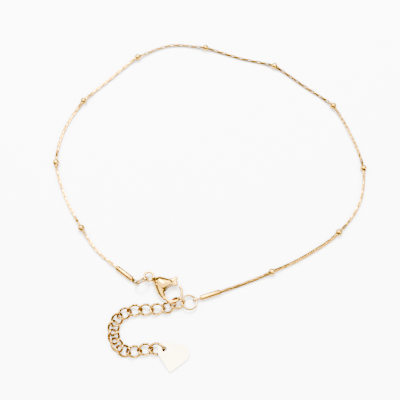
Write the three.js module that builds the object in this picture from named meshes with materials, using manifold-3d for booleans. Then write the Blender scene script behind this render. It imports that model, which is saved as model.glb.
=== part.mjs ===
// A chain anklet lying closed on a table: a fine chain of long box links with ten round beads,
// a plain tube on each end, two jump rings, a lobster clasp, and an extender chain of twisted
// oval links that ends in a heart-shaped tag. Millimetres, +Z up. The origin is under the middle.
import * as THREE from 'three';
import { mergeVertices } from 'three/addons/utils/BufferGeometryUtils.js';
import Module from 'manifold-3d';

const wasm = await Module();
wasm.setup();

// Fine chain: each link is a long ring of folded strip, turned a quarter from the one before
const chainLinkPitch = 1.25;
const chainLinkAcross = 0.82;
const chainStripWidth = 0.46;
const chainStripThickness = 0.14;
const chainSolderDepth = 0.03;

// Beads, drilled for the chain
const beadDiameter = 1.8;
const beadBore = 1.12;
const beadSpacing = 20;
const firstBeadAt = 15; // along the chain from its left end
const chainRiseLength = 4; // over which the chain climbs from the table into a bead

// End tubes, each with a flat tab drilled for a ring
const tubeDiameter = 1.4;
const tubeBore = 1.04;
const tubeLength = 5.1;
const tubeBoreDepth = 2;
const chainInTube = 1; // length of chain inside each tube
const tabLength = 1.8;
const tabWidth = 1.2;
const tabThickness = 0.3;
const tabHole = 0.9;
const tabHoleFromTip = 0.85;
const leftTabRoll = 28; // degrees from lying flat
const rightTabRoll = 90;
// Where the right tab's hole is on the table, and the plan direction of its tube towards it
const rightTubePlace = { x: -0.99, y: -26.3, heading: 198.5 };
// The left tab's hole is placed from the clasp's eye, by a share of the left ring's diameter
const leftTubeHeading = -37.7; // plan direction of the left tube towards its tab
const leftHoleFromEyeHeading = 202.49; // plan direction from the eye's middle to the hole
const leftHoleFromEyeShare = 0.8385;

// Jump rings
const ringOuterDiameter = 4;
const ringWire = 0.5;
const leftRingLean = 32; // degrees from upright, towards the front
const rightRingHeading = 206.5; // plan direction from the right tube's hole to the ring's middle
const rightRingTilt = 10.6; // degrees that its far side is raised
const ringPlayInEye = 0.34; // from the eye's middle towards the left tube
const ringPlayInTab = 0.08; // from the hole's middle towards the tab's tip

// Lobster clasp. Its own axis runs from the eye's middle to the hook's, its side is to the left
const claspHeading = -35; // plan direction of that axis
const hookFromRingHeading = 150; // plan direction from the right ring's middle to the hook's
const hookFromRingRim = 2.52; // from the right ring's rim to the hook's middle
const claspThickness = 2.7;
const eyeOuterDiameter = 2.84;
const eyeHole = 1.56;
const eyeThickness = 0.8;
const hookFromEye = 7.15;
const hookOpening = 3.9;
const hookWireAcross = 0.56;
const hookWireThickness = 0.74;
const hookStartAngle = -150;
const hookTipAngle = 84;
const bulgeLength = 4.6;
const bulgeWidth = 2.9;
const bulgeHeading = 24;
const bulgeFromEye = 3.3; // along the clasp's axis
const bulgeAside = 0.75; // to the side of that axis
const shoulderThickness = 1.5;
const pinFromEye = 2.95;
const pinAside = 0.5;
const pinDiameter = 0.6;
const pinPlay = 0.05; // all round the pin
const pinLength = 1.9;
const leverThickness = 0.9;
const leverPlay = 0.14; // on each face and round the heel
const leverHeelRadius = 0.72;
const leverTipGap = 0.3; // from the hook's tip

// Extender chain of twisted oval links
const linkLength = 4.05;
const linkWidth = 3.1;
const linkWire = 0.56;
const linkTwist = 42; // degrees that each end turns about the link's length
const linkPlay = 0.1; // between the wires of taut neighbours

// Heart tag
const heartWidth = 7.3;
const heartLobeRadius = 2.05;
const heartHalfAngle = 43; // of each straight side from the heart's axis
const heartTipRadius = 0.55;
const heartThickness = 0.5;
const heartHole = 1.3;
const heartHolePlace = { across: -2.25, up: 5.05 }; // from the sharp tip
const heartHeading = 80; // plan direction from tip to cleft
const heartLeanHeading = 40; // plan direction of the line that it is tilted about
const heartTilt = 8.2; // degrees that the drilled side is lifted by the link under it

// Sides and steps of the round pieces
const beadSides = 12;
const tubeSides = 12;
const wireSides = 6;
const ringSteps = 16;
const linkSteps = 12;

// The fine chain's route on the table, from the left tube round to the right tube
const chainStraightEnd = 1; // length that leaves each tube straight
const chainRoute = [
  [-25.5, -13.7],
  [-29.5, -8],
  [-34.3, 0.7],
  [-37.3, 10.3],
  [-36, 20.1],
  [-31.4, 28.9],
  [-24.6, 36.2],
  [-17.3, 43.1],
  [-8.4, 47.3],
  [1.5, 46.3],
  [11, 43.1],
  [20.5, 40.2],
  [28.3, 34],
  [35.8, 27.4],
  [40, 18.4],
  [42.2, 8.6],
  [40.4, -1.1],
  [34.5, -9.1],
  [26.4, -14.9],
  [17.5, -19.4],
  [11.2, -22],
];

// How far the chain leans about its own length, in degrees, before the first bead and after each
const chainLeans = [0, 0, 0, 10, 35, 45, 45, 30, 0, 30, 45];

// The extender's links in order from the ring. Towards is the plan direction of the step from the
// link before and reach its share of a taut step. Heading is the link's own plan direction, lift
// raises its near end, roll turns it about its length and raised holds it off the table.
const extenderRoute = [
  { towards: 172, reach: 1.02, heading: 191, roll: -25, lift: 14, raised: 0.34 },
  { towards: 207, reach: 0.81, heading: 204, roll: -38, lift: 2, raised: 0 },
  { towards: 189, reach: 0.94, heading: 188, roll: -32, lift: 0, raised: 0 },
  { towards: 183, reach: 0.96, heading: 182, roll: -24, lift: 0, raised: 0 },
  { towards: 183, reach: 0.96, heading: 186, roll: -16, lift: 0, raised: 0 },
  { towards: 197, reach: 0.9, heading: 208, roll: -8, lift: 0, raised: 0 },
  { towards: 222, reach: 0.8, heading: 238, roll: -3, lift: 0, raised: 0 },
  { towards: 250, reach: 0.72, heading: 265, roll: 0, lift: 0, raised: 0 },
  { towards: 275, reach: 0.72, heading: 282, roll: 0, lift: 0, raised: 0 },
  { towards: 294, reach: 0.72, heading: 302, roll: 0, lift: 0, raised: 0 },
  { towards: 320, reach: 0.72, heading: 332, roll: 0, lift: 0, raised: 0 },
  { towards: 354, reach: 0.86, heading: 360, roll: 5, lift: 0, raised: 0 },
  { towards: 9, reach: 0.93, heading: 7, roll: 13, lift: 0, raised: 0 },
  { towards: 3, reach: 0.93, heading: 359, roll: 22, lift: 0, raised: 0 },
];

const rad = THREE.MathUtils.degToRad;
const up = new THREE.Vector3(0, 0, 1);
const planDirection = (degrees) => new THREE.Vector3(Math.cos(rad(degrees)), Math.sin(rad(degrees)), 0);

const gold = (name, colour, roughness) =>
  new THREE.MeshStandardMaterial({ name, color: colour, roughness, metalness: 1 });

// Turns a closed geometry into a solid whose shared corners are merged
function solidOf(geometry) {
  geometry.deleteAttribute('normal');
  geometry.deleteAttribute('uv');
  const merged = mergeVertices(geometry, 1e-5);
  return new wasm.Manifold(new wasm.Mesh({
    numProp: 3,
    vertProperties: new Float32Array(merged.attributes.position.array),
    triVerts: new Uint32Array(merged.index.array),
  }));
}

function geometryOf(solid) {
  const mesh = solid.getMesh();
  const geometry = new THREE.BufferGeometry();
  geometry.setAttribute('position', new THREE.BufferAttribute(new Float32Array(mesh.vertProperties), 3));
  geometry.setIndex(new THREE.BufferAttribute(new Uint32Array(mesh.triVerts), 1));
  geometry.computeVertexNormals();
  return geometry;
}

const anklet = new THREE.Group();

function addPiece(name, geometry, material) {
  const mesh = new THREE.Mesh(geometry, material.clone());
  mesh.name = name;
  anklet.add(mesh);
  return mesh;
}

// A matrix whose X, Y and Z axes are the given directions at a place
function frameAt(place, xAxis, yAxis) {
  const zAxis = new THREE.Vector3().crossVectors(xAxis, yAxis).normalize();
  const squareY = new THREE.Vector3().crossVectors(zAxis, xAxis).normalize();
  return new THREE.Matrix4().makeBasis(xAxis.clone().normalize(), squareY, zAxis).setPosition(place);
}

const twoDigits = (number) => String(number).padStart(2, '0');

// A point of the chain's line inside or just outside an end tube
function chainEndPoint(tubePlace, fromEnd) {
  const hole = new THREE.Vector3(tubePlace.x, tubePlace.y, 0);
  const back = tubeLength + tabLength - tabHoleFromTip - chainInTube + fromEnd;
  return hole.addScaledVector(planDirection(tubePlace.heading), -back);
}

// The right ring lies nearly flat, its far side held up by the hooked link
const ringRadius = (ringOuterDiameter - ringWire) / 2;
const rightRingOut = planDirection(rightRingHeading);
const rightRingSide = new THREE.Vector3().crossVectors(up, rightRingOut);
const rightRingAxis = rightRingOut.clone().applyAxisAngle(rightRingSide, rad(-rightRingTilt));
const rightRingCentre = new THREE.Vector3(rightTubePlace.x, rightTubePlace.y, tubeDiameter / 2)
  .addScaledVector(rightRingAxis, ringRadius);

// The clasp lies beside the right ring, with its eye towards the left tube
const claspAxis = planDirection(claspHeading);
const claspSide = new THREE.Vector3().crossVectors(up, claspAxis);
const eyeCentre = rightRingCentre.clone()
  .addScaledVector(planDirection(hookFromRingHeading), ringOuterDiameter / 2 + hookFromRingRim)
  .addScaledVector(claspAxis, -hookFromEye)
  .setZ(claspThickness / 2);

// The left tab's hole is within reach of the left ring from the clasp's eye
const leftTabHole = eyeCentre.clone().addScaledVector(
  planDirection(leftHoleFromEyeHeading), ringOuterDiameter * leftHoleFromEyeShare);
const leftTubePlace = { x: leftTabHole.x, y: leftTabHole.y, heading: leftTubeHeading };

// Fine chain
const route = new THREE.CatmullRomCurve3([
  chainEndPoint(leftTubePlace, 0),
  chainEndPoint(leftTubePlace, chainStraightEnd),
  ...chainRoute.map(([x, y]) => new THREE.Vector3(x, y, 0)),
  chainEndPoint(rightTubePlace, chainStraightEnd),
  chainEndPoint(rightTubePlace, 0),
]);
route.arcLengthDivisions = 4000;
const chainLength = route.getLength();
const chainLinkCount = Math.round(chainLength / chainLinkPitch);
const beadCount = Math.floor((chainLength - firstBeadAt) / beadSpacing) + 1;
const beadPlaces = Array.from({ length: beadCount }, (_, i) => firstBeadAt + i * beadSpacing);

function chainLeanAt(along) {
  const beadsPassed = beadPlaces.filter((place) => place < along).length;
  return rad(chainLeans[Math.min(beadsPassed, chainLeans.length - 1)]);
}

// Half the height of the chain's cross-shaped section when it leans by an angle
function chainHalfHeight(lean) {
  const across = chainLinkAcross / 2;
  const strip = chainStripWidth / 2;
  const [sine, cosine] = [Math.sin(lean), Math.cos(lean)];
  return Math.max(across * sine + strip * cosine, across * cosine + strip * sine);
}

// One where the chain is held up, falling smoothly to nothing over the rise length
function heldShare(distance) {
  const share = Math.min(Math.abs(distance) / chainRiseLength, 1);
  return (1 + Math.cos(Math.PI * share)) / 2;
}

function chainPointAt(along) {
  const point = route.getPointAt(THREE.MathUtils.clamp(along / chainLength, 0, 1));
  const resting = chainHalfHeight(chainLeanAt(along));
  let height = resting;
  for (const place of beadPlaces) {
    height += (beadDiameter / 2 - resting) * heldShare(along - place);
  }
  const intoTube = Math.max(0, Math.min(along, chainLength - along) - chainInTube);
  height += (tubeDiameter / 2 - resting) * heldShare(intoTube);
  return point.setZ(height);
}

function chainLinkShape(length) {
  const shape = new THREE.Shape();
  const [x, y] = [length / 2, chainLinkAcross / 2];
  shape.moveTo(-x, -y).lineTo(x, -y).lineTo(x, y).lineTo(-x, y).closePath();
  const [inX, inY] = [x - chainStripThickness, y - chainStripThickness];
  const hole = new THREE.Path();
  hole.moveTo(-inX, -inY).lineTo(-inX, inY).lineTo(inX, inY).lineTo(inX, -inY).closePath();
  shape.holes.push(hole);
  return shape;
}

function chainLink(index) {
  const step = chainLength / chainLinkCount;
  const start = chainPointAt(index * step);
  const end = chainPointAt((index + 1) * step);
  const along = new THREE.Vector3().subVectors(end, start);
  const length = along.length() + 2 * chainStripThickness - chainSolderDepth;
  const geometry = new THREE.ExtrudeGeometry(chainLinkShape(length), {
    depth: chainStripWidth, steps: 1, bevelEnabled: false,
  });
  geometry.translate(0, 0, -chainStripWidth / 2);
  const lean = chainLeanAt((index + 0.5) * step) + (index % 2) * Math.PI / 2;
  const side = new THREE.Vector3().crossVectors(up, along).normalize();
  const across = side.applyAxisAngle(along.clone().normalize(), lean);
  const middle = start.add(end).multiplyScalar(0.5);
  geometry.applyMatrix4(frameAt(middle, along, across));
  return solidOf(geometry);
}

function fineChain() {
  let chain = chainLink(0);
  for (let index = 1; index < chainLinkCount; index++) {
    chain = chain.add(chainLink(index));
  }
  return geometryOf(chain);
}

const chainGold = gold('chain gold', 0xd9a860, 0.24);
addPiece('fine_chain', fineChain(), chainGold);

// Beads
function beadGeometry() {
  const radius = beadDiameter / 2;
  const bore = beadBore / 2;
  const mouth = Math.asin(bore / radius);
  const bands = 5;
  const profile = [];
  for (let band = 0; band <= bands; band++) {
    const angle = mouth + (Math.PI - 2 * mouth) * band / bands;
    profile.push(new THREE.Vector2(radius * Math.sin(angle), -radius * Math.cos(angle)));
  }
  profile.push(profile[0].clone());
  return new THREE.LatheGeometry(profile, beadSides);
}

const beadGold = gold('bead gold', 0xe2b06a, 0.14);
beadPlaces.forEach((place, index) => {
  const centre = chainPointAt(place);
  const along = chainPointAt(place + chainLinkPitch).sub(chainPointAt(place - chainLinkPitch));
  const bead = addPiece(`bead_${twoDigits(index + 1)}`, beadGeometry(), beadGold);
  bead.position.copy(centre);
  bead.quaternion.setFromUnitVectors(new THREE.Vector3(0, 1, 0), along.normalize());
});

// End tubes, drawn with the mouth at the origin and the tab towards +X
function endTube() {
  const radius = tubeDiameter / 2;
  const bore = tubeBore / 2;
  const shoulder = tabThickness;
  const profile = [
    [0, tubeBoreDepth],
    [bore, tubeBoreDepth],
    [bore, 0],
    [radius, 0],
    [radius, tubeLength - shoulder],
    [tabThickness, tubeLength],
    [0, tubeLength],
  ].map(([r, along]) => new THREE.Vector2(r, along));
  const barrel = solidOf(new THREE.LatheGeometry(profile, tubeSides).rotateZ(-Math.PI / 2));

  const tip = tubeLength + tabLength;
  const half = tabWidth / 2;
  const outline = new THREE.Shape();
  const root = tubeLength - 2 * shoulder;
  outline.moveTo(root, -half * 0.8).lineTo(tip - half, -half);
  outline.absarc(tip - half, 0, half, -Math.PI / 2, Math.PI / 2, false);
  outline.lineTo(root, half * 0.8).closePath();
  const hole = new THREE.Path();
  hole.absarc(tip - tabHoleFromTip, 0, tabHole / 2, 0, 2 * Math.PI, true);
  outline.holes.push(hole);
  const tab = new THREE.ExtrudeGeometry(outline, {
    depth: tabThickness, steps: 1, bevelEnabled: false, curveSegments: 6,
  });
  tab.translate(0, 0, -tabThickness / 2);
  return geometryOf(barrel.add(solidOf(tab)));
}

function placeTube(name, { x, y, heading }, roll) {
  const tube = addPiece(name, endTube(), gold('tube gold', 0xdba764, 0.2));
  const axis = planDirection(heading);
  const side = new THREE.Vector3().crossVectors(up, axis).applyAxisAngle(axis, rad(roll));
  const hole = new THREE.Vector3(x, y, tubeDiameter / 2);
  const reach = tubeLength + tabLength - tabHoleFromTip;
  tube.applyMatrix4(frameAt(hole.clone().addScaledVector(axis, -reach), axis, side));
  return { axis, hole };
}

const leftTube = placeTube('end_tube_left', leftTubePlace, leftTabRoll);
const rightTube = placeTube('end_tube_right', rightTubePlace, rightTabRoll);

// Jump rings
function placeRing(name, centre, xAxis, yAxis) {
  const geometry = new THREE.TorusGeometry(ringRadius, ringWire / 2, wireSides, ringSteps);
  const ring = addPiece(name, geometry, gold('ring gold', 0xdcae6c, 0.18));
  ring.applyMatrix4(frameAt(centre, xAxis, yAxis));
}

placeRing('jump_ring_right', rightRingCentre, rightRingAxis, rightRingSide);

// The left ring passes through the left tab's hole and the clasp's eye, and leans to the front
function leftRing() {
  const inTab = leftTube.hole.clone().addScaledVector(leftTube.axis, ringPlayInTab);
  const towardsTube = new THREE.Vector3().subVectors(inTab, eyeCentre).setZ(0).normalize();
  const inEye = eyeCentre.clone().addScaledVector(towardsTube, ringPlayInEye);
  const chord = new THREE.Vector3().subVectors(inEye, inTab);
  const lean = new THREE.Vector3(0, -Math.sin(rad(leftRingLean)), Math.cos(rad(leftRingLean)));
  const rise = lean.addScaledVector(chord, -lean.dot(chord) / chord.lengthSq()).normalize();
  const height = Math.sqrt(ringRadius ** 2 - chord.lengthSq() / 4);
  const centre = inTab.clone().add(inEye).multiplyScalar(0.5).addScaledVector(rise, height);
  placeRing('jump_ring_left', centre, chord.normalize(), rise);
}

leftRing();

// Lobster clasp, drawn with the eye at the origin, its axis along X and its side along Y
const hookRadius = (hookOpening + hookWireAcross) / 2;

function cylinderAt(x, y, radius, height, sides) {
  return solidOf(new THREE.CylinderGeometry(radius, radius, height, sides)
    .rotateX(Math.PI / 2).translate(x, y, 0));
}

function slab(points, thickness, bevel) {
  const outline = new THREE.Shape(points.map(([x, y]) => new THREE.Vector2(x, y)));
  const geometry = new THREE.ExtrudeGeometry(outline, {
    depth: thickness - 2 * bevel,
    steps: 1,
    bevelEnabled: bevel > 0,
    bevelThickness: bevel,
    bevelSize: bevel,
    bevelOffset: -bevel,
    bevelSegments: 1,
  });
  return solidOf(geometry.translate(0, 0, bevel - thickness / 2));
}

function claspEye() {
  const radius = (eyeOuterDiameter + eyeHole) / 4;
  const across = (eyeOuterDiameter - eyeHole) / 4;
  const geometry = new THREE.TorusGeometry(radius, across, 8, 16);
  return solidOf(geometry.scale(1, 1, eyeThickness / 2 / across));
}

function claspHook() {
  const [a, b] = [hookWireAcross / 2, hookWireThickness / 2];
  const section = new THREE.Shape();
  section.absellipse(0, 0, b, a, 0, 2 * Math.PI, false, 0);
  const start = rad(hookStartAngle);
  const sweep = rad(hookTipAngle - hookStartAngle);
  class HookLine extends THREE.Curve {
    getPoint(share, target = new THREE.Vector3()) {
      const angle = start + sweep * share;
      return target.set(
        hookFromEye + hookRadius * Math.cos(angle), hookRadius * Math.sin(angle), 0);
    }
  }
  return solidOf(new THREE.ExtrudeGeometry(section, {
    steps: 18, curveSegments: 4, bevelEnabled: false, extrudePath: new HookLine(),
  }));
}

const leverTipX = hookFromEye + hookRadius * Math.cos(rad(hookTipAngle)) - leverTipGap;
const openingTop = hookOpening / 2;

function leverOutline() {
  const heel = [];
  for (const angle of [80, 115, 150, 185, 220, 255, 290]) {
    heel.push([
      pinFromEye + leverHeelRadius * Math.cos(rad(angle)),
      pinAside + leverHeelRadius * Math.sin(rad(angle)),
    ]);
  }
  const outerEdge = hookFromEye - hookOpening / 2;
  return [
    ...heel,
    [outerEdge - 0.9, pinAside - 0.35],
    [outerEdge + 0.2, openingTop - 1.35],
    [outerEdge + 0.75, openingTop - 0.45],
    [outerEdge + 1.3, openingTop],
    [leverTipX, openingTop + 0.08],
    [leverTipX, openingTop + 0.5],
    [leverTipX - 0.65, openingTop + 0.95],
    [leverTipX - 0.95, openingTop + 1.82],
    [leverTipX - 1.8, openingTop + 1.9],
    [leverTipX - 1.95, openingTop + 0.95],
    [leverTipX - 2.7, openingTop + 0.6],
    [leverTipX - 3.4, openingTop + 0.1],
  ];
}

function claspBody() {
  const bulge = solidOf(new THREE.SphereGeometry(1, 16, 10).rotateX(Math.PI / 2)
    .scale(bulgeLength / 2, bulgeWidth / 2, claspThickness / 2)
    .rotateZ(rad(bulgeHeading)).translate(bulgeFromEye, bulgeAside, 0));
  const shoulder = slab([
    [eyeHole / 2 + 0.2, -0.5],
    [2.3, -1.2],
    [4, -2.05],
    [5.5, -2.6],
    [6.2, -2.3],
    [5.6, -0.8],
    [4.4, 0.8],
    [2.2, 1.2],
    [eyeHole / 2 + 0.2, 0.5],
  ], shoulderThickness, 0.3);
  const opening = cylinderAt(hookFromEye, 0, hookOpening / 2, 2 * claspThickness, 24);
  const eyeOpening = cylinderAt(0, 0, eyeHole / 2, 2 * claspThickness, 16);
  const slotHalf = leverHeelRadius + leverPlay;
  const slotThickness = leverThickness + 2 * leverPlay;
  const slotHeel = cylinderAt(pinFromEye, pinAside, slotHalf, slotThickness, 16);
  const slotMouth = slab([
    [pinFromEye, pinAside - slotHalf],
    [hookFromEye - hookOpening / 2 + 0.3, pinAside - slotHalf - 0.55],
    [leverTipX, openingTop - 1],
    [leverTipX, openingTop + 2],
    [pinFromEye - 0.15, openingTop + 2],
    [pinFromEye - 0.15, pinAside + slotHalf],
  ], slotThickness, 0);
  const pinBore = cylinderAt(
    pinFromEye, pinAside, pinDiameter / 2 + pinPlay, pinLength + 2 * pinPlay, 16);
  const housing = bulge.add(shoulder).subtract(opening).subtract(slotHeel).subtract(slotMouth);
  return housing.add(claspEye()).subtract(eyeOpening).add(claspHook()).subtract(pinBore);
}

function claspLever() {
  const bore = cylinderAt(pinFromEye, pinAside, pinDiameter / 2 + pinPlay, 2 * claspThickness, 16);
  return slab(leverOutline(), leverThickness, 0.12).subtract(bore);
}

const claspGold = gold('clasp gold', 0xd6a35c, 0.16);
const claspFrame = frameAt(eyeCentre, claspAxis, claspSide);
addPiece('clasp_body', geometryOf(claspBody()), claspGold).applyMatrix4(claspFrame);
addPiece('clasp_lever', geometryOf(claspLever()), claspGold).applyMatrix4(claspFrame);
addPiece('clasp_pin', geometryOf(cylinderAt(pinFromEye, pinAside, pinDiameter / 2, pinLength, 16)),
  gold('pin steel', 0xc9a26a, 0.3)).applyMatrix4(claspFrame);

// Extender chain
const linkHalfLength = (linkLength - linkWire) / 2;
const linkHalfWidth = (linkWidth - linkWire) / 2;
const linkStep = 2 * linkHalfLength - linkWire - linkPlay;

// The middle of a link's wire at an angle round the link
function linkLine(angle) {
  const turn = rad(linkTwist) * Math.cos(angle);
  const aside = linkHalfWidth * Math.sin(angle);
  return new THREE.Vector3(
    linkHalfLength * Math.cos(angle), aside * Math.cos(turn), aside * Math.sin(turn));
}

function linkGeometry() {
  const geometry = new THREE.TorusGeometry(1, linkWire / 2, wireSides, linkSteps);
  const position = geometry.attributes.position;
  const fine = 1e-3;
  for (let i = 0; i < position.count; i++) {
    const [x, y, z] = [position.getX(i), position.getY(i), position.getZ(i)];
    const angle = Math.atan2(y, x);
    const outward = Math.hypot(x, y) - 1;
    const along = linkLine(angle + fine).sub(linkLine(angle - fine)).normalize();
    const turn = rad(linkTwist) * Math.cos(angle);
    const across = new THREE.Vector3(0, -Math.sin(turn), Math.cos(turn));
    const out = new THREE.Vector3().crossVectors(along, across).normalize();
    const place = linkLine(angle).addScaledVector(out, outward);
    place.addScaledVector(new THREE.Vector3().crossVectors(out, along), z);
    position.setXYZ(i, place.x, place.y, place.z);
  }
  return geometry;
}

// A link's turn from its heading, lift and roll
function linkTurn({ heading, roll, lift }) {
  return new THREE.Matrix4().makeRotationZ(rad(heading))
    .multiply(new THREE.Matrix4().makeRotationY(rad(lift)))
    .multiply(new THREE.Matrix4().makeRotationX(rad(roll)));
}

// The first link hooks the ring's far side, and each later one steps on from the link before
const ringInside = ringRadius - (ringWire + linkWire) / 2 - linkPlay;
const linkCentres = [];
for (const { towards, reach, heading, lift } of extenderRoute) {
  const step = planDirection(towards);
  if (linkCentres.length === 0) {
    const nearEnd = rightRingCentre.clone().addScaledVector(step, ringInside * reach);
    linkCentres.push(nearEnd.addScaledVector(
      planDirection(heading), linkHalfLength * Math.cos(rad(lift))));
  } else {
    linkCentres.push(linkCentres.at(-1).clone().addScaledVector(step, linkStep * reach));
  }
}

const linkGold = gold('link gold', 0xdfae68, 0.2);
const linkPieces = extenderRoute.map((row, index) => {
  const geometry = linkGeometry().applyMatrix4(linkTurn(row));
  geometry.computeBoundingBox();
  const piece = addPiece(`extender_link_${twoDigits(index + 1)}`, geometry, linkGold);
  piece.position.copy(linkCentres[index]).setZ(row.raised - geometry.boundingBox.min.z);
  return piece;
});

// Heart tag, drawn with its sharp tip at the origin and its axis along Y
function heartGeometry() {
  const lobeAcross = heartWidth / 2 - heartLobeRadius;
  const [sine, cosine] = [Math.sin(rad(heartHalfAngle)), Math.cos(rad(heartHalfAngle))];
  const lobeUp = (heartLobeRadius + lobeAcross * cosine) / sine;
  const cleft = Math.acos(lobeAcross / heartLobeRadius);
  const tipUp = heartTipRadius / sine;
  const side = Math.PI / 2 - rad(heartHalfAngle);
  const outline = new THREE.Shape();
  outline.absarc(0, tipUp, heartTipRadius, Math.PI + rad(heartHalfAngle), -rad(heartHalfAngle), false);
  outline.absarc(lobeAcross, lobeUp, heartLobeRadius, -rad(heartHalfAngle), Math.PI - cleft, false);
  outline.absarc(-lobeAcross, lobeUp, heartLobeRadius, cleft, Math.PI + rad(heartHalfAngle), false);
  outline.closePath();
  const hole = new THREE.Path();
  hole.absarc(heartHolePlace.across, heartHolePlace.up, heartHole / 2, 0, 2 * Math.PI, true);
  outline.holes.push(hole);
  const geometry = new THREE.ExtrudeGeometry(outline, {
    depth: heartThickness, steps: 1, bevelEnabled: false, curveSegments: 10,
  });
  return geometry.translate(-heartHolePlace.across, -heartHolePlace.up, -heartThickness / 2);
}

function placeHeart() {
  const last = linkPieces.at(-1);
  const lastRow = extenderRoute.at(-1);
  const holeCentre = last.position.clone().addScaledVector(planDirection(lastRow.heading), linkHalfLength);
  const geometry = heartGeometry();
  const lifted = planDirection(heartHeading - 90);
  const turn = new THREE.Matrix4().makeRotationAxis(planDirection(heartLeanHeading), rad(heartTilt));
  geometry.applyMatrix4(turn.multiply(frameAt(new THREE.Vector3(), lifted, planDirection(heartHeading))));
  geometry.computeBoundingBox();
  const heart = addPiece('heart_tag', geometry, gold('tag gold', 0xf0c98c, 0.12));
  heart.position.set(holeCentre.x, holeCentre.y, -geometry.boundingBox.min.z);
}

placeHeart();

// The origin goes under the middle of the whole anklet, at the table
const bounds = new THREE.Box3().setFromObject(anklet, true);
const middle = bounds.getCenter(new THREE.Vector3());
for (const piece of anklet.children) {
  piece.position.sub(new THREE.Vector3(middle.x, middle.y, bounds.min.z));
}

export default anklet;
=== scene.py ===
import bpy
import math
from mathutils import Matrix, Vector


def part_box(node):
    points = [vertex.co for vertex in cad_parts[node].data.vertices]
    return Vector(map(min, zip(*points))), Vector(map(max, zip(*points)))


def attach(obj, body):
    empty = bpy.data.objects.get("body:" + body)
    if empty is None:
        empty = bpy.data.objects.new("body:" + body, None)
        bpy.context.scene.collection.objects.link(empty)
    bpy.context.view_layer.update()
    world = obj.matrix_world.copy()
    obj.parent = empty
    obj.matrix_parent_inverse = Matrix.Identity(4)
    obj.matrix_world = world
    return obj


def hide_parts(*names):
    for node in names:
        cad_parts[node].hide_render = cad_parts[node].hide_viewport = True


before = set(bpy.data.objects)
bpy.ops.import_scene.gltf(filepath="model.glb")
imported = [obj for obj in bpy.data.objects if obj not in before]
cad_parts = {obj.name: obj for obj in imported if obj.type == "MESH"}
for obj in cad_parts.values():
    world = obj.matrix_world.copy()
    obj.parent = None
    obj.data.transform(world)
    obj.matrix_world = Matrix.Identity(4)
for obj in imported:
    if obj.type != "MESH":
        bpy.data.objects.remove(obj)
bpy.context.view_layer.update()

# The chain anklet's pieces are modelled in millimetres, each in its own frame, and are laid
# in the anklet's frame in metres when they are finished.
MM = 0.001

# Fine chain of long box links
LINK_PITCH = 1.25
LINK_ACROSS = 0.82
STRIP_WIDTH = 0.46
# The drawn link, rounder and fuller than the solid one, with its bevels
DRAWN_LENGTH = 1.5
DRAWN_ACROSS = 0.78
DRAWN_STRIP = 0.6
DRAWN_THICKNESS = 0.31
DRAWN_CORNER = 0.18
DRAWN_EDGE = 0.06

# Beads
BEAD_DIAMETER = 1.8
BEAD_BORE = 1.12
BEAD_SPACING = 20
FIRST_BEAD_AT = 15
CHAIN_RISE_LENGTH = 4

# End tubes with their tabs
TUBE_DIAMETER = 1.4
TUBE_BORE = 1.04
TUBE_LENGTH = 5.1
TUBE_BORE_DEPTH = 2
CHAIN_IN_TUBE = 1
TAB_LENGTH = 1.8
TAB_WIDTH = 1.2
TAB_THICKNESS = 0.3
TAB_HOLE = 0.9
TAB_HOLE_FROM_TIP = 0.85
TAB_ROOT_SHARE = 0.62  # of the tab's width, where it leaves the tube
LEFT_TAB_ROLL = 28
RIGHT_TAB_ROLL = 90
# Where each tab's hole is on the table, and the plan heading of its tube towards it
LEFT_TUBE = (-15.4, -21.99, -37.7)
RIGHT_TUBE = (-0.99, -26.3, 198.5)

# Jump rings
RING_RADIUS = 1.75
RING_WIRE = 0.5
RING_CUT = 0.05
LEFT_RING_LEAN = 32
RIGHT_RING_HEADING = 206.5
RIGHT_RING_TILT = 10.6

# Lobster clasp, beside the right ring
CLASP_HEADING = -35
HOOK_FROM_RING_HEADING = 150
HOOK_FROM_RING_RIM = 2.52
CLASP_THICKNESS = 2.7
EYE_DIAMETER = 2.84
EYE_HOLE = 1.56
EYE_THICKNESS = 0.8
HOOK_FROM_EYE = 7.15
HOOK_OPENING = 3.62
HOOK_ACROSS = 0.73
HOOK_THICKNESS = 0.86
HOOK_START = -150
HOOK_TIP = 84
PIN_X = 2.95
PIN_Y = 0.5
PIN_DIAMETER = 0.6
PIN_PLAY = 0.05
LEVER_THICKNESS = 0.9
LEVER_PLAY = 0.14
LEVER_HEEL = 0.72
LEVER_NOSE = 0.27
LEVER_SHORT_OF_HOOK = 0.3
LEVER_OFF_OPENING = 0.03
SLOT_TOP = 3.9

# The balls that the clasp's forms are stretched over, as (x, y, radius, half height)
# from the middle of its eye
CLASP_HALF = CLASP_THICKNESS / 2
CLASP_SHELL = [
    (1.5, 0.05, 0.55, 0.6), (3.0, 0.35, 1.5, CLASP_HALF), (4.0, 0.2, 1.75, CLASP_HALF),
    (5.0, 1.42, 1.12, 1.15),
]
CLASP_SHOULDER = [(3.4, -0.2, 1.4, 1.2), (4.6, -1.35, 1.0, 0.95), (5.5, -1.95, 0.62, 0.65)]
HOOK_ROOT = [(5.3, -1.8, 0.6, 0.6), (6.3, -2.32, 0.4, 0.45)]

# The voxel of each casting
SHELL_GRAIN = 0.06
CLASP_GRAIN = 0.055
LEVER_GRAIN = 0.045

# Twisted extender links
TWISTED_LENGTH = 4.05
TWISTED_WIDTH = 3.1
TWISTED_WIRE = 0.66
TWIST = 42

# Heart tag
HEART_WIDTH = 7.3
HEART_LOBE = 2.05
HEART_HALF_ANGLE = 43
HEART_TIP = 0.55
HEART_THICKNESS = 0.5
HEART_BEVEL = 0.15
HEART_HOLE = 1.3
HEART_HOLE_ACROSS = -2.25
HEART_HOLE_UP = 5.05
HEART_HEADING = 80
HEART_LEAN_HEADING = 40
HEART_TILT = 8.2

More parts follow.
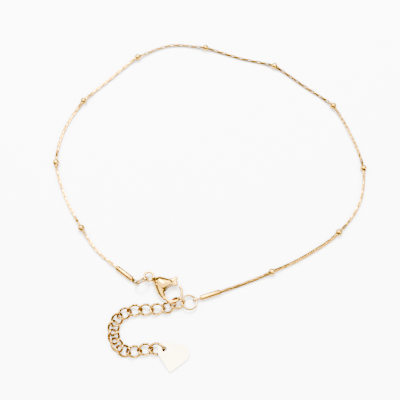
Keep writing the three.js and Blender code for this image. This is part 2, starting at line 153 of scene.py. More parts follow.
# The fine chain's route on the table, from the left tube round to the right one
CHAIN_STRAIGHT_END = 1
CHAIN_ROUTE = [
    (-25.5, -13.7), (-29.5, -8), (-34.3, 0.7), (-37.3, 10.3), (-36, 20.1),
    (-31.4, 28.9), (-24.6, 36.2), (-17.3, 43.1), (-8.4, 47.3), (1.5, 46.3),
    (11, 43.1), (20.5, 40.2), (28.3, 34), (35.8, 27.4), (40, 18.4),
    (42.2, 8.6), (40.4, -1.1), (34.5, -9.1), (26.4, -14.9), (17.5, -19.4),
    (11.2, -22),
]

# Degrees that the chain leans, before the first bead and after each
CHAIN_LEANS = [0, 0, 0, 10, 35, 45, 45, 30, 0, 30, 45]

# Plan heading, roll and lift of each extender link, in order from the ring
EXTENDER_TURNS = [
    (191, -25, 14), (204, -38, 2), (188, -32, 0), (182, -24, 0), (186, -16, 0),
    (208, -8, 0), (238, -3, 0), (265, 0, 0), (282, 0, 0), (302, 0, 0),
    (332, 0, 0), (360, 5, 0), (7, 13, 0), (359, 22, 0),
]

SAME_POINT = 1e-5  # within which doubled vertices are merged
FACING = 0.9  # least cosine between an axis and the normal of a face that looks along it

rad = math.radians
UP = Vector((0, 0, 1))


def heading(degrees):
    return Vector((math.cos(rad(degrees)), math.sin(rad(degrees)), 0))


def frame_at(place, x_axis, y_axis):
    """A matrix whose X and Y axes point the given ways, at a place."""
    x_axis = Vector(x_axis).normalized()
    z_axis = x_axis.cross(Vector(y_axis)).normalized()
    y_axis = z_axis.cross(x_axis)
    turned = Matrix((x_axis, y_axis, z_axis)).transposed().to_4x4()
    return Matrix.Translation(place) @ turned


# Working by hand in Blender

def only(*objects):
    """Selects just these objects and makes the first one active."""
    bpy.ops.object.select_all(action="DESELECT")
    for obj in objects:
        obj.select_set(True)
    bpy.context.view_layer.objects.active = objects[0]


def named(name):
    """Names the newest object and its data."""
    obj = bpy.context.object
    obj.name = name
    obj.data.name = name
    return obj


def edit_faces(obj, wanted):
    """Opens a piece in edit mode with just the wanted faces selected."""
    edit_all(obj)
    bpy.ops.mesh.select_mode(type="FACE")
    bpy.ops.mesh.select_all(action="DESELECT")
    bpy.ops.object.mode_set(mode="OBJECT")
    for face in obj.data.polygons:
        face.select = wanted(face)
    bpy.ops.object.mode_set(mode="EDIT")


def edit_edges(obj, wanted):
    """Opens a piece in edit mode with just the wanted edges, given by their ends, selected."""
    edit_all(obj)
    bpy.ops.mesh.select_mode(type="EDGE")
    bpy.ops.mesh.select_all(action="DESELECT")
    bpy.ops.object.mode_set(mode="OBJECT")
    vertices = obj.data.vertices
    for edge in obj.data.edges:
        edge.select = wanted(*(vertices[index].co for index in edge.vertices))
    bpy.ops.object.mode_set(mode="EDIT")


def edit_all(obj):
    only(obj)
    bpy.ops.object.mode_set(mode="EDIT")
    bpy.ops.mesh.select_all(action="SELECT")


def close_edit():
    bpy.ops.object.mode_set(mode="OBJECT")


def close_outward():
    """Points every face of the piece in edit mode outwards and leaves edit mode."""
    bpy.ops.mesh.select_all(action="SELECT")
    bpy.ops.mesh.normals_make_consistent(inside=False)
    close_edit()


def settle_transform(obj):
    """Puts a piece's place, turn and scale into its mesh."""
    only(obj)
    bpy.ops.object.transform_apply(location=True, rotation=True, scale=True)
    return obj


def disc(x, y, radius, height, sides=48):
    """A flat round with its axis along Z and its middle on the XY plane."""
    bpy.ops.mesh.primitive_cylinder_add(
        vertices=sides, radius=radius, depth=height, location=(x, y, 0))
    return settle_transform(bpy.context.object)


def joined(first, *others):
    only(first, *others)
    bpy.ops.object.join()
    return bpy.context.object


def skinned(name, pieces):
    """Joins pieces and stretches one convex skin over them."""
    body = joined(*pieces)
    edit_all(body)
    bpy.ops.mesh.convex_hull()
    close_outward()
    body.name = name
    return body


def stretched_over(name, rounds, height):
    """A plate stretched like a belt over rounds given as (x, y, radius)."""
    return skinned(name, [disc(x, y, radius, height) for x, y, radius in rounds])


def pod(name, knobs):
    """A rounded body stretched over flattened balls given as (x, y, radius, half height)."""
    balls = []
    for x, y, radius, half_height in knobs:
        bpy.ops.mesh.primitive_uv_sphere_add(
            segments=48, ring_count=24, radius=1, location=(x, y, 0),
            scale=(radius, radius, half_height))
        balls.append(settle_transform(bpy.context.object))
    return skinned(name, balls)


def apply_modifier(obj, kind, **settings):
    modifier = obj.modifiers.new(kind.title(), kind)
    for key, value in settings.items():
        setattr(modifier, key, value)
    only(obj)
    bpy.ops.object.modifier_apply(modifier=modifier.name)
    return obj


def fused(obj, *tools, operation="UNION"):
    """Adds the tools to a piece, or cuts them out of it, and throws the tools away."""
    for tool in tools:
        apply_modifier(obj, "BOOLEAN", object=tool, operation=operation, solver="EXACT")
        bpy.data.objects.remove(tool, do_unlink=True)
    return obj


def cut(obj, *tools):
    return fused(obj, *tools, operation="DIFFERENCE")


def softened(obj, width, segments, degrees):
    """Rounds the edges that turn by more than an angle."""
    return apply_modifier(
        obj, "BEVEL", width=width, segments=segments,
        limit_method="ANGLE", angle_limit=rad(degrees))


def cast(obj, grain, rounds):
    """Runs the joins of a piece together like a casting and smooths its corners."""
    apply_modifier(obj, "REMESH", mode="VOXEL", voxel_size=grain)
    apply_modifier(obj, "SMOOTH", factor=0.5, iterations=rounds)
    return obj


def smooth(obj, degrees=35):
    only(obj)
    bpy.ops.object.shade_smooth_by_angle(angle=rad(degrees))
    return obj


def copy_of(master, name, matrix):
    """A copy of a master piece with its own mesh, laid in the anklet's frame in metres."""
    piece = master.copy()
    piece.data = master.data.copy()
    piece.name = name
    piece.data.name = name
    bpy.context.collection.objects.link(piece)
    piece.matrix_world = Matrix.Scale(MM, 4) @ matrix
    return settle_transform(piece)


def box_centre(corners):
    low, high = Vector(corners[0]), Vector(corners[1])
    return (low + high) / 2


def mesh_box(obj):
    """The low and high corners of a piece's mesh."""
    points = [vertex.co for vertex in obj.data.vertices]
    low = Vector([min(point[axis] for point in points) for axis in range(3)])
    high = Vector([max(point[axis] for point in points) for axis in range(3)])
    return low, high


def move_onto(piece, node):
    """Moves a piece so that its middle is where the middle of its CAD node is."""
    offset = box_centre(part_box(node)) - box_centre(mesh_box(piece))
    piece.data.transform(Matrix.Translation(offset))
    return piece


def put_in_place(piece, body, slot, *nodes):
    """Hides the CAD nodes that a finished piece stands for and hangs the piece on its body; the
    slot is not used.
    """
    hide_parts(*nodes)
    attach(piece, body)


def discard(*objects):
    for obj in objects:
        bpy.data.objects.remove(obj, do_unlink=True)


# Gold finishes: fine marks of polishing, which run one way, over slow clouds in the plating
MARK_TURN = (0.5, 0.3, 0.6)
MARK_STRETCH = (1, 9, 5)
CLOUDS_PER_METRE = 420
BUMP_STRENGTH = 0.35


def new_group(name, inputs, outputs):
    group = bpy.data.node_groups.new(name, "ShaderNodeTree")
    for socket_name, kind, default in inputs:
        socket = group.interface.new_socket(socket_name, in_out="INPUT", socket_type=kind)
        socket.default_value = default
    for socket_name, kind in outputs:
        group.interface.new_socket(socket_name, in_out="OUTPUT", socket_type=kind)
    source = group.nodes.new("NodeGroupInput")
    sink = group.nodes.new("NodeGroupOutput")
    return group, source, sink


def map_range(nodes, low, high):
    """A node that spreads the values from low to high over 0 to 1."""
    spread = nodes.new("ShaderNodeMapRange")
    spread.inputs["From Min"].default_value = low
    spread.inputs["From Max"].default_value = high
    return spread


def polishing_group():
    """Polishing marks, tiny pits and slightly uneven plating, from Object coordinates."""
    group, source, sink = new_group(
        "polished_plating",
        [
            ("Marks per mm", "NodeSocketFloat", 4.0),
            ("Mark strength", "NodeSocketFloat", 0.5),
            ("Pale gold", "NodeSocketColor", (0.95, 0.74, 0.43, 1)),
            ("Deep gold", "NodeSocketColor", (0.85, 0.58, 0.27, 1)),
            ("Least roughness", "NodeSocketFloat", 0.1),
            ("Most roughness", "NodeSocketFloat", 0.3),
        ],
        [
            ("Colour", "NodeSocketColor"),
            ("Roughness", "NodeSocketFloat"),
            ("Height", "NodeSocketFloat"),
        ],
    )
    nodes, links = group.nodes, group.links
    coordinates = nodes.new("ShaderNodeTexCoord")
    per_metre = nodes.new("ShaderNodeMath")
    per_metre.operation = "MULTIPLY"
    per_metre.inputs[1].default_value = 1 / MM
    links.new(source.outputs["Marks per mm"], per_metre.inputs[0])

    stretched = nodes.new("ShaderNodeMapping")
    stretched.inputs["Rotation"].default_value = MARK_TURN
    stretched.inputs["Scale"].default_value = MARK_STRETCH
    links.new(coordinates.outputs["Object"], stretched.inputs["Vector"])
    marks = nodes.new("ShaderNodeTexNoise")
    marks.inputs["Detail"].default_value = 4
    marks.inputs["Roughness"].default_value = 0.6
    links.new(stretched.outputs["Vector"], marks.inputs["Vector"])
    links.new(per_metre.outputs[0], marks.inputs["Scale"])
    fine = map_range(nodes, 0.35, 0.7)
    links.new(marks.outputs["Fac"], fine.inputs["Value"])

    clouds = nodes.new("ShaderNodeTexNoise")
    clouds.inputs["Scale"].default_value = CLOUDS_PER_METRE
    clouds.inputs["Detail"].default_value = 3
    links.new(coordinates.outputs["Object"], clouds.inputs["Vector"])
    uneven = map_range(nodes, 0.35, 0.65)
    links.new(clouds.outputs["Fac"], uneven.inputs["Value"])

    colour = nodes.new("ShaderNodeMix")
    colour.data_type = "RGBA"
    links.new(uneven.outputs["Result"], colour.inputs["Factor"])
    links.new(source.outputs["Pale gold"], colour.inputs["A"])
    links.new(source.outputs["Deep gold"], colour.inputs["B"])
    links.new(colour.outputs["Result"], sink.inputs["Colour"])

    both = nodes.new("ShaderNodeMath")
    both.operation = "MULTIPLY"
    links.new(fine.outputs["Result"], both.inputs[0])
    links.new(source.outputs["Mark strength"], both.inputs[1])
    dull = nodes.new("ShaderNodeMapRange")
    links.new(both.outputs[0], dull.inputs["Value"])
    links.new(source.outputs["Least roughness"], dull.inputs["To Min"])
    links.new(source.outputs["Most roughness"], dull.inputs["To Max"])
    links.new(dull.outputs["Result"], sink.inputs["Roughness"])
    links.new(both.outputs[0], sink.inputs["Height"])
    return group


PLATING = polishing_group()


def gold(name, pale, deep, least, most, marks_per_mm, mark_strength, relief):
    """A gold plated finish with its own tone, polish and marks."""
    material = bpy.data.materials.new(name)
    material.use_nodes = True
    nodes, links = material.node_tree.nodes, material.node_tree.links
    shader = nodes["Principled BSDF"]
    shader.inputs["Metallic"].default_value = 1
    plating = nodes.new("ShaderNodeGroup")
    plating.node_tree = PLATING
    plating.inputs["Marks per mm"].default_value = marks_per_mm
    plating.inputs["Mark strength"].default_value = mark_strength
    plating.inputs["Pale gold"].default_value = (*pale, 1)
    plating.inputs["Deep gold"].default_value = (*deep, 1)
    plating.inputs["Least roughness"].default_value = least
    plating.inputs["Most roughness"].default_value = most
    bump = nodes.new("ShaderNodeBump")
    bump.inputs["Strength"].default_value = BUMP_STRENGTH
    bump.inputs["Distance"].default_value = relief * MM
    links.new(plating.outputs["Colour"], shader.inputs["Base Color"])
    links.new(plating.outputs["Roughness"], shader.inputs["Roughness"])
    links.new(plating.outputs["Height"], bump.inputs["Height"])
    links.new(bump.outputs["Normal"], shader.inputs["Normal"])
    return material


def painted_edge_shade(material, face_way, painted_shade_colour):
    """Paints shade into a flat piece's colour wherever its metal turns away from its broad face:
    painted shade on the bevels.
    """
    nodes, links = material.node_tree.nodes, material.node_tree.links
    surface = nodes.new("ShaderNodeNewGeometry")
    facing = nodes.new("ShaderNodeVectorMath")
    facing.operation = "DOT_PRODUCT"
    facing.inputs[1].default_value = face_way
    links.new(surface.outputs["True Normal"], facing.inputs[0])
    level = map_range(nodes, 0.85, 0.99)
    links.new(facing.outputs["Value"], level.inputs["Value"])
    tone = nodes.new("ShaderNodeMix")
    tone.data_type = "RGBA"
    tone.inputs["A"].default_value = (*painted_shade_colour, 1)
    links.new(level.outputs["Result"], tone.inputs["Factor"])
    links.new(nodes["Group"].outputs["Colour"], tone.inputs["B"])
    links.new(tone.outputs["Result"], nodes["Principled BSDF"].inputs["Base Color"])
    return material


def painted(piece, material):
    piece.data.materials.clear()
    piece.data.materials.append(material)
    return piece


CHAIN_GOLD = gold(
    "chain_gold", pale=(0.33, 0.168, 0.015), deep=(0.19, 0.088, 0.006), least=0.14, most=0.28,
    marks_per_mm=3.0, mark_strength=0.7, relief=0.012)
BEAD_GOLD = gold(
    "bead_gold", pale=(0.42, 0.235, 0.026), deep=(0.27, 0.135, 0.011), least=0.06, most=0.16,
    marks_per_mm=2.0, mark_strength=0.5, relief=0.008)
TUBE_GOLD = gold(
    "tube_gold", pale=(0.39, 0.21, 0.02), deep=(0.25, 0.12, 0.009), least=0.08, most=0.18,
    marks_per_mm=2.0, mark_strength=0.7, relief=0.012)
RING_GOLD = gold(
    "ring_gold", pale=(0.35, 0.188, 0.018), deep=(0.21, 0.10, 0.007), least=0.09, most=0.20,
    marks_per_mm=3.0, mark_strength=0.6, relief=0.01)
CLASP_GOLD = gold(
    "clasp_gold", pale=(0.46, 0.26, 0.03), deep=(0.30, 0.15, 0.012), least=0.08, most=0.17,
    marks_per_mm=1.4, mark_strength=0.7, relief=0.015)
LINK_GOLD = gold(
    "link_gold", pale=(0.37, 0.20, 0.019), deep=(0.22, 0.105, 0.008), least=0.09, most=0.20,
    marks_per_mm=3.0, mark_strength=0.6, relief=0.01)
TAG_GOLD = gold(
    "tag_gold", pale=(0.97, 0.84, 0.56), deep=(0.92, 0.76, 0.45), least=0.10, most=0.18,
    marks_per_mm=1.2, mark_strength=0.6, relief=0.006)
PIN_GOLD = gold(
    "pin_gold", pale=(0.30, 0.16, 0.02), deep=(0.20, 0.10, 0.01), least=0.22, most=0.36,
    marks_per_mm=4.0, mark_strength=0.7, relief=0.01)

# Painted shade for the heart tag's bevelled edges
TAG_PAINTED_EDGE_SHADE = (0.24, 0.13, 0.016)


# The fine chain's route

def catmull_rom(points, per_span=80):
    """A smooth plan line through the points, finely stepped, with its running length."""
    ends = [points[0] * 2 - points[1], *points, points[-1] * 2 - points[-2]]
    line = []
    for a, b, c, d in zip(ends, ends[1:], ends[2:], ends[3:]):
        before = (b - a).length ** 0.5
        span = (c - b).length ** 0.5
        after = (d - c).length ** 0.5
        leaving = (b - a) / before - (c - a) / (before + span) + (c - b) / span
        arriving = (c - b) / span - (d - b) / (span + after) + (d - c) / after
        leaving, arriving = leaving * span, arriving * span
        for step in range(per_span):
            t = step / per_span
            square = (c - b) * 3 - leaving * 2 - arriving
            cube = (b - c) * 2 + leaving + arriving
            line.append(b + leaving * t + square * t ** 2 + cube * t ** 3)
    line.append(points[-1])
    lengths = [0]
    for start, end in zip(line, line[1:]):
        lengths.append(lengths[-1] + (end - start).length)
    return line, lengths


def chain_end_point(tube, from_end):
    """A point of the chain's line inside or just outside an end tube."""
    x, y, way = tube
    back = TUBE_LENGTH + TAB_LENGTH - TAB_HOLE_FROM_TIP - CHAIN_IN_TUBE + from_end
    return Vector((x, y, 0)) - heading(way) * back


LINE, LENGTHS = catmull_rom([
    chain_end_point(LEFT_TUBE, 0),
    chain_end_point(LEFT_TUBE, CHAIN_STRAIGHT_END),
    *(Vector((x, y, 0)) for x, y in CHAIN_ROUTE),
    chain_end_point(RIGHT_TUBE, CHAIN_STRAIGHT_END),
    chain_end_point(RIGHT_TUBE, 0),
])
CHAIN_LENGTH = LENGTHS[-1]
BEAD_PLACES = [
    FIRST_BEAD_AT + index * BEAD_SPACING
    for index in range(int((CHAIN_LENGTH - FIRST_BEAD_AT) / BEAD_SPACING) + 1)
]


def plan_point(along):
    """The place on the table at a length along the chain."""
    along = min(max(along, 0), CHAIN_LENGTH)
    low, high = 0, len(LENGTHS) - 1
    while high - low > 1:
        middle = (low + high) // 2
        if LENGTHS[middle] <= along:
            low = middle
        else:
            high = middle
    share = (along - LENGTHS[low]) / (LENGTHS[high] - LENGTHS[low])
    return LINE[low].lerp(LINE[high], share)


def chain_lean(along):
    passed = sum(1 for place in BEAD_PLACES if place < along)
    return rad(CHAIN_LEANS[min(passed, len(CHAIN_LEANS) - 1)])


def resting_height(lean):
    """How high the middle of a leaning link is when it lies on the table."""
    across, strip = LINK_ACROSS / 2, STRIP_WIDTH / 2
    sine, cosine = math.sin(lean), math.cos(lean)
    return max(across * sine + strip * cosine, across * cosine + strip * sine)


def held_share(distance):
    """How much of a bead's or tube's height the chain keeps at a distance from it."""
    share = min(abs(distance) / CHAIN_RISE_LENGTH, 1)
    return (1 + math.cos(math.pi * share)) / 2


def chain_point(along):
    """The chain's middle at a length along it, raised where a bead or a tube holds it up."""
    resting = resting_height(chain_lean(along))
    height = resting
    for place in BEAD_PLACES:
        height += (BEAD_DIAMETER / 2 - resting) * held_share(along - place)
    into_tube = max(0, min(along, CHAIN_LENGTH - along) - CHAIN_IN_TUBE)
    height += (TUBE_DIAMETER / 2 - resting) * held_share(into_tube)
    point = plan_point(along)
    return Vector((point.x, point.y, height))


# Moves millimetre places of the route into the anklet's frame, found from the first bead
SHIFT = box_centre(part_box("bead_01")) / MM - chain_point(BEAD_PLACES[0])
SHIFTED = Matrix.Translation(SHIFT)


# Fine chain

def box_link_master():
    """One long link of thick folded strip, open through its middle, with rounded ends."""
    bpy.ops.mesh.primitive_cube_add(size=1, scale=(DRAWN_LENGTH, DRAWN_ACROSS, DRAWN_STRIP))
    link = settle_transform(named("box_link"))
    edit_faces(link, lambda face: abs(face.normal.z) > FACING)
    bpy.ops.mesh.inset(thickness=DRAWN_THICKNESS, depth=0)
    bpy.ops.mesh.bridge_edge_loops()
    close_edit()
    mid_strip = (DRAWN_ACROSS - DRAWN_THICKNESS) / 2
    edit_edges(link, lambda a, b: abs(a.z - b.z) > DRAWN_STRIP / 2 and abs(a.y) > mid_strip)
    bpy.ops.mesh.bevel(
        offset=DRAWN_CORNER, offset_type="OFFSET", segments=3, profile=0.5, affect="EDGES")
    close_edit()
    softened(link, DRAWN_EDGE, 2, 60)
    return smooth(link, 50)


def make_chain():
    master = box_link_master()
    count = round(CHAIN_LENGTH / LINK_PITCH)
    step = CHAIN_LENGTH / count
    links = []
    for index in range(count):
        start, end = chain_point(index * step), chain_point((index + 1) * step)
        along = end - start
        lean = chain_lean((index + 0.5) * step) + (index % 2) * math.pi / 2
        across = Matrix.Rotation(lean, 3, along) @ UP.cross(along).normalized()
        matrix = SHIFTED @ frame_at((start + end) / 2, along, across)
        links.append(copy_of(master, f"chain_link_{index + 1:03d}", matrix))
    discard(master)
    chain = joined(*links)
    chain.name = "box_chain"
    chain.data.name = "box_chain"
    put_in_place(painted(chain, CHAIN_GOLD), "anklet", "chain_gold", "fine_chain")


make_chain()


# Beads

def bead_master():
    """A round bead drilled along X, its bore's rims softened."""
    radius, bore = BEAD_DIAMETER / 2, BEAD_BORE / 2
    end = math.sqrt(radius ** 2 - bore ** 2)
    bpy.ops.mesh.primitive_uv_sphere_add(segments=40, ring_count=28, radius=radius)
    bead = named("bead")
    bead.rotation_euler = (0, math.pi / 2, 0)
    settle_transform(bead)
    for side in (-1, 1):
        edit_all(bead)
        bpy.ops.mesh.bisect(
            plane_co=(side * end, 0, 0), plane_no=(side, 0, 0), clear_outer=True, use_fill=False)
        close_edit()
    close = 1e-4
    edit_edges(bead, lambda a, b: abs(abs(a.x) - end) < close and abs(abs(b.x) - end) < close)
    bpy.ops.mesh.bridge_edge_loops()
    close_outward()
    softened(bead, 0.04, 2, 40)
    return smooth(bead, 40)


def make_beads():
    master = bead_master()
    for index, place in enumerate(BEAD_PLACES):
        along = chain_point(place + LINK_PITCH) - chain_point(place - LINK_PITCH)
        matrix = SHIFTED @ frame_at(chain_point(place), along, UP.cross(along))
        node = f"bead_{index + 1:02d}"
        bead = move_onto(copy_of(master, f"round_{node}", matrix), node)
        put_in_place(painted(bead, BEAD_GOLD), "anklet", "bead_gold", node)
    discard(master)


make_beads()


# End tubes

def end_tube_master():
    """A drawn tube with its mouth at the origin and a drilled tab at the other end."""
    radius = TUBE_DIAMETER / 2
    bpy.ops.mesh.primitive_cylinder_add(
        vertices=40, radius=radius, depth=TUBE_LENGTH,
        location=(TUBE_LENGTH / 2, 0, 0), rotation=(0, math.pi / 2, 0))
    tube = settle_transform(named("end_tube"))
    edit_faces(tube, lambda face: face.normal.x < -FACING)
    bpy.ops.mesh.inset(thickness=radius - TUBE_BORE / 2, depth=0)
    bpy.ops.mesh.extrude_region_move(TRANSFORM_OT_translate={"value": (TUBE_BORE_DEPTH, 0, 0)})
    close_edit()
    edit_faces(tube, lambda face: face.normal.x > FACING and face.center.x > TUBE_LENGTH - 0.1)
    bpy.ops.transform.translate(value=(-TAB_THICKNESS, 0, 0))
    bpy.ops.mesh.extrude_region_move(TRANSFORM_OT_translate={"value": (TAB_THICKNESS, 0, 0)})
    bpy.ops.transform.resize(value=(1, TAB_THICKNESS / radius, TAB_THICKNESS / radius))
    close_edit()
    softened(tube, 0.05, 3, 35)

    tip = TUBE_LENGTH + TAB_LENGTH
    half = TAB_WIDTH / 2
    root = TUBE_LENGTH - TAB_THICKNESS
    rounds = [(tip - half, 0, half), (root, 0, half * TAB_ROOT_SHARE)]
    tab = stretched_over("tab", rounds, TAB_THICKNESS)
    cut(tab, disc(tip - TAB_HOLE_FROM_TIP, 0, TAB_HOLE / 2, 2))
    softened(tab, 0.06, 3, 50)
    fused(tube, tab)
    return smooth(tube, 35)


def make_tube(master, node, place, roll):
    x, y, way = place
    axis = heading(way)
    side = Matrix.Rotation(rad(roll), 3, axis) @ UP.cross(axis)
    hole = Vector((x, y, TUBE_DIAMETER / 2))
    mouth = hole - axis * (TUBE_LENGTH + TAB_LENGTH - TAB_HOLE_FROM_TIP)
    tube = copy_of(master, f"drawn_{node}", SHIFTED @ frame_at(mouth, axis, side))
    put_in_place(painted(tube, TUBE_GOLD), "anklet", "fittings_gold", node)
    return hole


def make_tubes():
    master = end_tube_master()
    holes = (
        make_tube(master, "end_tube_left", LEFT_TUBE, LEFT_TAB_ROLL),
        make_tube(master, "end_tube_right", RIGHT_TUBE, RIGHT_TAB_ROLL),
    )
    discard(master)
    return holes


left_hole, right_hole = make_tubes()


# Jump rings

def jump_ring_master():
    """A round wire ring, cut once where it was opened and closed, at -Y."""
    bpy.ops.mesh.primitive_torus_add(
        major_segments=96, minor_segments=20, major_radius=RING_RADIUS, minor_radius=RING_WIRE / 2)
    ring = named("jump_ring")
    slit = disc(0, 0, RING_WIRE, RING_CUT)
    slit.rotation_euler = (0, math.pi / 2, 0)
    slit.location = (0, -RING_RADIUS, 0)
    settle_transform(slit)
    cut(ring, slit)
    return smooth(ring, 40)


out = heading(RIGHT_RING_HEADING)
ring_side = UP.cross(out)
ring_out = Matrix.Rotation(rad(-RIGHT_RING_TILT), 3, ring_side) @ out
ring_middle = right_hole + ring_out * RING_RADIUS
hook_middle = (ring_middle + heading(HOOK_FROM_RING_HEADING)
               * (RING_RADIUS + RING_WIRE / 2 + HOOK_FROM_RING_RIM))
eye_middle = hook_middle - heading(CLASP_HEADING) * HOOK_FROM_EYE
eye_middle.z = CLASP_THICKNESS / 2


def make_rings():
    master = jump_ring_master()
    lean = Vector((0, -math.sin(rad(LEFT_RING_LEAN)), math.cos(rad(LEFT_RING_LEAN))))
    chord = eye_middle - left_hole
    rise = lean - chord * (lean.dot(chord) / chord.length_squared)
    for node, x_axis, y_axis in (
        ("jump_ring_left", chord, -rise),
        ("jump_ring_right", ring_out, ring_side),
    ):
        ring = copy_of(master, f"wire_{node}", frame_at(Vector(), x_axis, y_axis))
        move_onto(ring, node)
        put_in_place(painted(ring, RING_GOLD), "anklet", "fittings_gold", node)
    discard(master)


make_rings()


# Lobster clasp

HOOK_RADIUS = (HOOK_OPENING + HOOK_ACROSS) / 2
LEVER_TIP_X = HOOK_FROM_EYE + HOOK_RADIUS * math.cos(rad(HOOK_TIP)) - LEVER_SHORT_OF_HOOK


def hook_wire():
    """The hook's oval wire, spun round the hook's middle."""
    start = Vector((math.cos(rad(HOOK_START)), math.sin(rad(HOOK_START)), 0))
    centre = (HOOK_FROM_EYE, 0, 0)
    bpy.ops.mesh.primitive_circle_add(
        vertices=24, radius=0.5, fill_type="NGON", rotation=(math.pi / 2, 0, rad(HOOK_START)),
        location=Vector(centre) + start * HOOK_RADIUS)
    wire = bpy.context.object
    wire.scale = (HOOK_ACROSS, HOOK_THICKNESS, 1)
    settle_transform(wire)
    edit_all(wire)
    bpy.ops.mesh.spin(
        steps=48, angle=rad(HOOK_START - HOOK_TIP), center=centre, axis=(0, 0, 1))
    bpy.ops.mesh.select_all(action="SELECT")
    bpy.ops.mesh.remove_doubles(threshold=SAME_POINT)
    close_outward()
    return wire


def clasp_body():
    """The eye, the full cheeks and the hook, cast in one and slotted for the lever."""
    body = cast(joined(
        pod("clasp_shell", CLASP_SHELL),
        pod("clasp_shoulder", CLASP_SHOULDER),
        pod("hook_root", HOOK_ROOT),
    ), SHELL_GRAIN, 2)
    eye_radius = (EYE_DIAMETER + EYE_HOLE) / 4
    eye_wire = (EYE_DIAMETER - EYE_HOLE) / 4
    bpy.ops.mesh.primitive_torus_add(
        major_segments=64, minor_segments=20, major_radius=eye_radius, minor_radius=eye_wire)
    eye = bpy.context.object
    eye.scale = (1, 1, EYE_THICKNESS / 2 / eye_wire)
    settle_transform(eye)
    cut(body, disc(HOOK_FROM_EYE, 0, HOOK_OPENING / 2, 6, 96))
    fused(body, eye, hook_wire())
    cut(body, disc(0, 0, EYE_HOLE / 2, 4, 64))
    cast(body, CLASP_GRAIN, 3)

    slot_half = LEVER_HEEL + LEVER_PLAY
    slot_height = LEVER_THICKNESS + 2 * LEVER_PLAY
    heel = disc(PIN_X, PIN_Y, slot_half, slot_height)
    mouth = stretched_over("slot_mouth", [
        (PIN_X, PIN_Y, slot_half - 0.02), (PIN_X + 0.2, SLOT_TOP, 0.3),
        (LEVER_TIP_X, SLOT_TOP, 0.3), (LEVER_TIP_X - 0.1, 1.0, 0.1),
        (5.6, -0.9, 0.1)], slot_height)
    bore = disc(PIN_X, PIN_Y, PIN_DIAMETER / 2 + PIN_PLAY, 2.0)
    cut(body, heel, mouth, bore)
    return smooth(body, 50)


def clasp_lever():
    """The arm from the pin to the hook's tip, with the thumb piece on its back."""
    half = LEVER_THICKNESS / 2
    heel = (PIN_X, PIN_Y, LEVER_HEEL, half)
    elbow = (4.2, 1.15, 0.95, half)
    wrist = (5.15, 1.75, 1.05, half + 0.08)
    nose = (LEVER_TIP_X - LEVER_NOSE, 2.22, LEVER_NOSE, 0.38)
    arm = cast(joined(
        pod("snap_lever", [heel, elbow]),
        pod("lever_middle", [elbow, wrist]),
        pod("lever_nose", [wrist, nose]),
        pod("thumb_neck", [(5.05, 2.0, 0.8, half), (5.66, 3.3, 0.42, half)]),
        pod("thumb_piece", [(5.62, 3.48, 0.4, half + 0.06), (5.78, 3.3, 0.4, half + 0.06)]),
        pod("thumb_heel", [(5.75, 3.1, 0.4, half), (6.3, 2.38, 0.32, 0.42)]),
    ), LEVER_GRAIN, 1)
    cut(arm, disc(HOOK_FROM_EYE, 0, HOOK_OPENING / 2 - LEVER_OFF_OPENING, 4, 96))
    cast(arm, LEVER_GRAIN, 4)
    cut(arm, disc(PIN_X, PIN_Y, PIN_DIAMETER / 2 + PIN_PLAY, 4))
    return smooth(arm, 50)


def make_clasp():
    along = heading(CLASP_HEADING)
    matrix = SHIFTED @ frame_at(eye_middle, along, UP.cross(along))
    for master, name, body, node in (
        (clasp_body(), "cast_clasp_body", "anklet", "clasp_body"),
        (clasp_lever(), "cast_clasp_lever", "lever", "clasp_lever"),
    ):
        piece = copy_of(master, name, matrix)
        discard(master)
        put_in_place(painted(piece, CLASP_GOLD), body, "fittings_gold", node)
    painted(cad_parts["clasp_pin"], PIN_GOLD)


make_clasp()


# Extender chain

def twisted_link_master():
    """An oval ring of round wire, each end turned the opposite way about its length."""
    half_length = (TWISTED_LENGTH - TWISTED_WIRE) / 2
    half_width = (TWISTED_WIDTH - TWISTED_WIRE) / 2
    bpy.ops.curve.primitive_bezier_circle_add(radius=1)
    bpy.ops.object.mode_set(mode="EDIT")
    bpy.ops.transform.resize(value=(half_length, half_width, 1))
    close_edit()
    oval = bpy.context.object
    oval.data.bevel_depth = TWISTED_WIRE / 2
    oval.data.bevel_resolution = 5
    oval.data.resolution_u = 14
    only(oval)
    bpy.ops.object.convert(target="MESH")
    link = named("twisted_link")
    edit_all(link)
    bpy.ops.mesh.remove_doubles(threshold=SAME_POINT)
    close_outward()
    whole = TWIST * TWISTED_LENGTH / half_length
    apply_modifier(
        link, "SIMPLE_DEFORM", deform_method="TWIST", deform_axis="X", angle=rad(whole))
    return smooth(link, 60)


def make_extender():
    master = twisted_link_master()
    for index, (way, roll, lift) in enumerate(EXTENDER_TURNS):
        matrix = (Matrix.Rotation(rad(way), 4, "Z") @ Matrix.Rotation(rad(lift), 4, "Y")
                  @ Matrix.Rotation(rad(roll), 4, "X"))
        node = f"extender_link_{index + 1:02d}"
        link = move_onto(copy_of(master, f"twisted_{node}", matrix), node)
        put_in_place(painted(link, LINK_GOLD), "anklet", "fittings_gold", node)
    discard(master)


make_extender()


# Heart tag

def heart_master():
    """A plate of two lobes that meet at a rounded tip, drilled, with softened edges."""
    lobe_across = HEART_WIDTH / 2 - HEART_LOBE
    sine, cosine = math.sin(rad(HEART_HALF_ANGLE)), math.cos(rad(HEART_HALF_ANGLE))
    lobe_up = (HEART_LOBE + lobe_across * cosine) / sine
    tip_up = HEART_TIP / sine
    halves = [
        stretched_over("heart_half", [
            (side * lobe_across, lobe_up, HEART_LOBE), (0, tip_up, HEART_TIP)], HEART_THICKNESS)
        for side in (-1, 1)
    ]
    heart = fused(*halves)
    cut(heart, disc(HEART_HOLE_ACROSS, HEART_HOLE_UP, HEART_HOLE / 2, 2, 64))
    softened(heart, HEART_BEVEL, 4, 60)
    smooth(heart, 40)
    return apply_modifier(heart, "WEIGHTED_NORMAL", keep_sharp=True, weight=100)


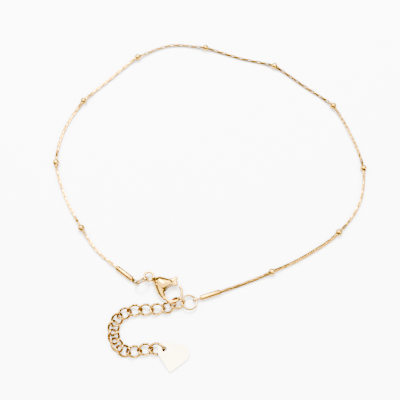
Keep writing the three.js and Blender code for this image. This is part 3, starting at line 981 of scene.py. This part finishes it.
def make_heart():
    master = heart_master()
    leaned = Matrix.Rotation(rad(HEART_TILT), 4, heading(HEART_LEAN_HEADING))
    # Paints shade on the heart's bevels, where they turn away from its broad face
    painted_edge_shade(TAG_GOLD, leaned @ UP, TAG_PAINTED_EDGE_SHADE)
    turn = leaned @ frame_at(Vector(), heading(HEART_HEADING - 90), heading(HEART_HEADING))
    heart = move_onto(copy_of(master, "polished_heart_tag", turn), "heart_tag")
    discard(master)
    put_in_place(painted(heart, TAG_GOLD), "anklet", "tag_gold", "heart_tag")


make_heart()


# Table, light and camera

TABLE_SIZE = 4
TABLE_WHITE = (0.9, 0.9, 0.9, 1)
WALL_LIGHT = 0.45
CEILING_LIGHT = 1.1


def table_material():
    material = bpy.data.materials.new("white_table")
    material.use_nodes = True
    shader = material.node_tree.nodes["Principled BSDF"]
    shader.inputs["Base Color"].default_value = TABLE_WHITE
    shader.inputs["Roughness"].default_value = 0.6
    shader.inputs["Specular IOR Level"].default_value = 0.2
    return material


bpy.ops.mesh.primitive_plane_add(size=TABLE_SIZE, location=(0, 0, 0))
table = named("table")
painted(table, table_material())


def soft_light(name, place, size, power):
    """A round softbox that looks at the middle of the table."""
    bpy.ops.object.light_add(type="AREA", location=place)
    light = named(name)
    light.data.shape = "DISK"
    light.data.size = size
    light.data.energy = power
    light.rotation_euler = (Vector() - Vector(place)).to_track_quat("-Z", "Y").to_euler()


soft_light("softbox_above", place=(0.02, 0.04, 0.60), size=1.05, power=30)
soft_light("softbox_behind", place=(-0.04, 0.25, 0.53), size=0.2, power=18)
soft_light("softbox_left", place=(-0.50, 0.10, 0.36), size=0.14, power=6)
soft_light("softbox_right", place=(0.46, -0.20, 0.34), size=0.12, power=5)


def studio_world():
    """A bright ceiling over dimmer walls, so that the gold shows both light and brown."""
    world = bpy.data.worlds.new("studio")
    world.use_nodes = True
    nodes, links = world.node_tree.nodes, world.node_tree.links
    way = nodes.new("ShaderNodeTexCoord")
    upward = nodes.new("ShaderNodeSeparateXYZ")
    links.new(way.outputs["Generated"], upward.inputs[0])
    level = map_range(nodes, 0.55, 0.95)
    level.interpolation_type = "SMOOTHSTEP"
    level.inputs["To Min"].default_value = WALL_LIGHT
    level.inputs["To Max"].default_value = CEILING_LIGHT
    links.new(upward.outputs["Z"], level.inputs["Value"])
    links.new(level.outputs["Result"], nodes["Background"].inputs["Color"])
    bpy.context.scene.world = world


studio_world()

# The camera looks down on the middle of the route at the photograph's angle
CAMERA_DISTANCE = 178 * MM
CAMERA_ELEVATION = 66
CAMERA_LENS = 63
aim = Vector((SHIFT.x, SHIFT.y, SHIFT.z)) * MM
back = Vector((0, -math.cos(rad(CAMERA_ELEVATION)), math.sin(rad(CAMERA_ELEVATION))))
bpy.ops.object.camera_add(location=aim + back * CAMERA_DISTANCE)
camera = named("camera")
camera.rotation_euler = (rad(90 - CAMERA_ELEVATION), 0, 0)
camera.data.lens = CAMERA_LENS
camera.data.sensor_width = 36
camera.data.clip_start = 0.01
bpy.context.scene.camera = camera
